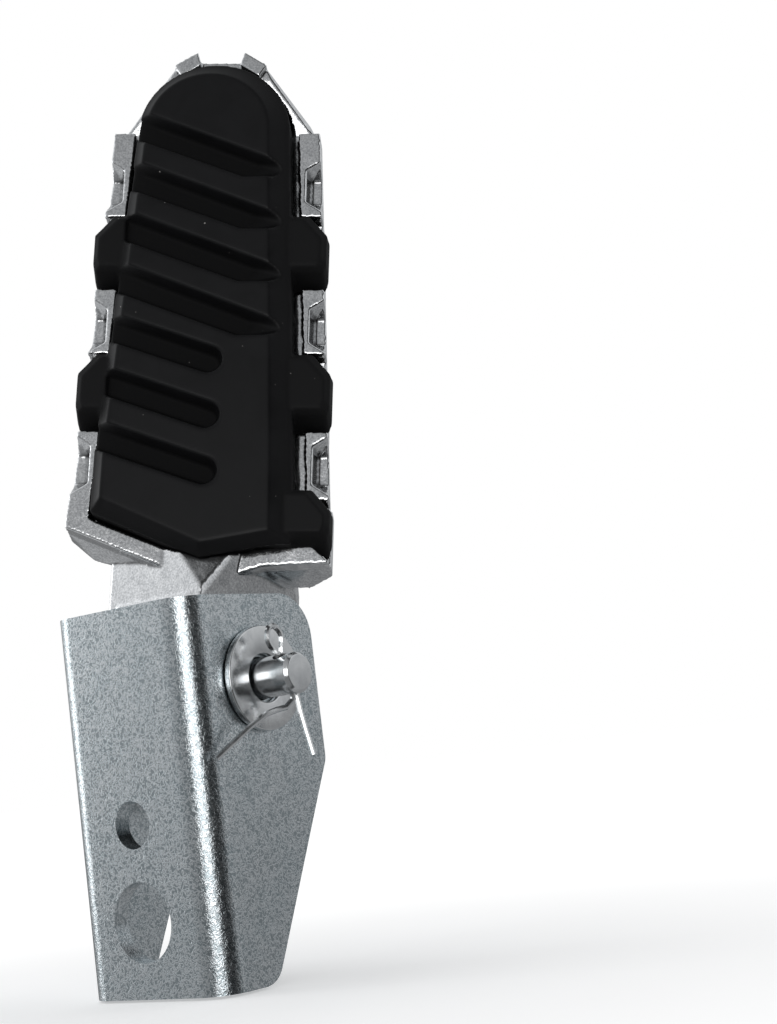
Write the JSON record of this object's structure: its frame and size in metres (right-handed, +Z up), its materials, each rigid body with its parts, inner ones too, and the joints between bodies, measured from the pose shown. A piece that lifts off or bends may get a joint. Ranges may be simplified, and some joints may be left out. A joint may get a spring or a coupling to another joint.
{
  "type": "folding foot peg",
  "caption": "Folding motorcycle foot peg: a cast toothed platform with a black rubber tread, hinged by a clevis pin in a plated U bracket.",
  "frame": {"origin": "on the bracket web's outer face, midway between its two bolt holes", "axes": "-Y out of the face that lies on the motorcycle frame, +Z up the bracket towards the folded peg's tip, X along the hinge pin with the split pin at +X"},
  "size_m": [0.052, 0.0599, 0.1965],
  "materials": {
    "zinc_plated_steel": "zinc plated sheet with a fine grain",
    "bright_plated_steel": "smooth bright plating",
    "plated_casting": "bright plated casting with a slightly grainy skin",
    "black_rubber": "satin moulded rubber"
  },
  "bodies": {
    "bracket": {"mount_bracket": "zinc_plated_steel"},
    "peg": {"peg_body": "plated_casting", "side_plate_left": "zinc_plated_steel", "side_plate_right": "zinc_plated_steel", "pivot_sleeve": "bright_plated_steel", "rubber_pad": "black_rubber", "pad_backing_plate": "zinc_plated_steel", "pad_insert_lower": "bright_plated_steel", "pad_insert_upper": "bright_plated_steel", "screw_washer_lower": "bright_plated_steel", "screw_washer_upper": "bright_plated_steel", "pad_screw_lower": "bright_plated_steel", "pad_screw_upper": "bright_plated_steel"},
    "hinge_pin": {"pivot_pin": "bright_plated_steel", "split_pin": "bright_plated_steel"},
    "washer": {"pin_washer": "bright_plated_steel"}
  },
  "joints": [
    {"name": "peg_fold", "type": "hinge", "parent": "bracket", "child": "peg", "pos_m": [0.0008, 0.0191, 0.0344], "axis": [-1, 0, 0], "range_deg": [-12, 66]},
    {"name": "pin_spin", "type": "hinge", "parent": "bracket", "child": "hinge_pin", "pos_m": [0.0008, 0.0191, 0.0344], "axis": [1, 0, 0], "continuous": true},
    {"name": "washer_spin", "type": "hinge", "parent": "bracket", "child": "washer", "pos_m": [0.0008, 0.0191, 0.0344], "axis": [1, 0, 0], "continuous": true}
  ]
}
